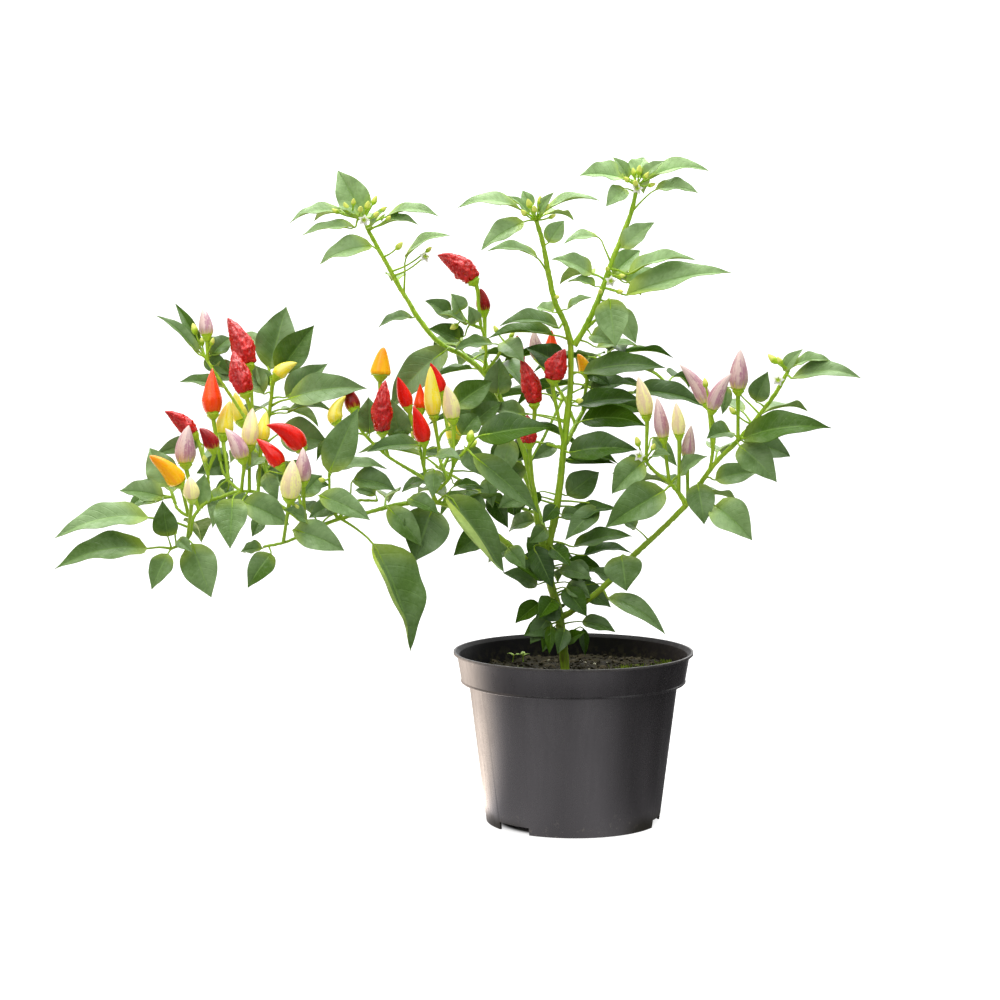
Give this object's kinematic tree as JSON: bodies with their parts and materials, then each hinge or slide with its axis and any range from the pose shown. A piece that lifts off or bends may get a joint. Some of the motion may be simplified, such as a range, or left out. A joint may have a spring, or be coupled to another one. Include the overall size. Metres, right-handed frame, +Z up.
{
  "type": "potted chilli pepper plant",
  "caption": "Bushy ornamental chilli pepper plant in fruit, its upright pods ripening from cream and lilac through yellow and orange to red, in a round black plastic nursery pot.",
  "frame": {"origin": "middle of the circle that the pot stands on, on the supporting surface", "axes": "+Z up along the pot's axis, +X to the right along the plant's long spread, -Y towards the viewer of its front"},
  "size_m": [0.4463, 0.1974, 0.3871],
  "materials": {
    "pot": "satin",
    "soil": "matte",
    "leaf": "satin",
    "stem": "satin",
    "wrinkled": "gloss",
    "dark": "gloss",
    "red": "gloss",
    "scarlet": "gloss",
    "orange": "gloss",
    "yellow": "gloss",
    "cream": "gloss",
    "lilac": "gloss"
  },
  "bodies": {
    "root": {"pot": "pot", "soil": "soil", "main_stem": "stem", "top_left": "leaf", "top_centre": "leaf", "top_right": "leaf", "right_limb": "leaf", "left_arm": "leaf", "middle": "leaf", "left_upper": "leaf", "left_spray": "leaf", "back_left": "leaf", "back_right": "leaf", "main_stem_wrinkled_fruit_1": "wrinkled", "top_left_wrinkled_fruit_1": "wrinkled", "top_left_dark_fruit_2": "dark", "top_left_wrinkled_fruit_3": "wrinkled", "top_left_wrinkled_fruit_4": "wrinkled", "right_limb_cream_fruit_1": "cream", "right_limb_lilac_fruit_2": "lilac", "right_limb_cream_fruit_3": "cream", "right_limb_lilac_fruit_4": "lilac", "right_limb_lilac_fruit_5": "lilac", "right_limb_lilac_fruit_6": "lilac", "right_limb_lilac_fruit_7": "lilac", "left_arm_cream_fruit_1": "cream", "left_arm_lilac_fruit_2": "lilac", "left_arm_red_fruit_3": "red", "middle_orange_fruit_1": "orange", "middle_wrinkled_fruit_2": "wrinkled", "middle_red_fruit_3": "red", "middle_red_fruit_4": "red", "middle_scarlet_fruit_5": "scarlet", "middle_red_fruit_6": "red", "middle_yellow_fruit_7": "yellow", "middle_cream_fruit_8": "cream", "middle_yellow_fruit_9": "yellow", "middle_dark_fruit_10": "dark", "left_upper_scarlet_fruit_1": "scarlet", "left_upper_wrinkled_fruit_2": "wrinkled", "left_upper_wrinkled_fruit_3": "wrinkled", "left_upper_lilac_fruit_4": "lilac", "left_upper_yellow_fruit_5": "yellow", "left_upper_yellow_fruit_6": "yellow", "left_upper_yellow_fruit_7": "yellow", "left_upper_cream_fruit_8": "cream", "left_upper_yellow_fruit_9": "yellow", "left_upper_lilac_fruit_10": "lilac", "left_upper_red_fruit_11": "red", "left_spray_orange_fruit_1": "orange", "left_spray_lilac_fruit_2": "lilac", "left_spray_cream_fruit_3": "cream", "left_spray_wrinkled_fruit_4": "wrinkled", "left_spray_dark_fruit_5": "dark", "back_left_wrinkled_fruit_1": "wrinkled", "back_left_yellow_fruit_2": "yellow", "back_right_lilac_fruit_1": "lilac", "back_right_scarlet_fruit_2": "scarlet", "back_right_orange_fruit_3": "orange"}
  },
  "joints": []
}
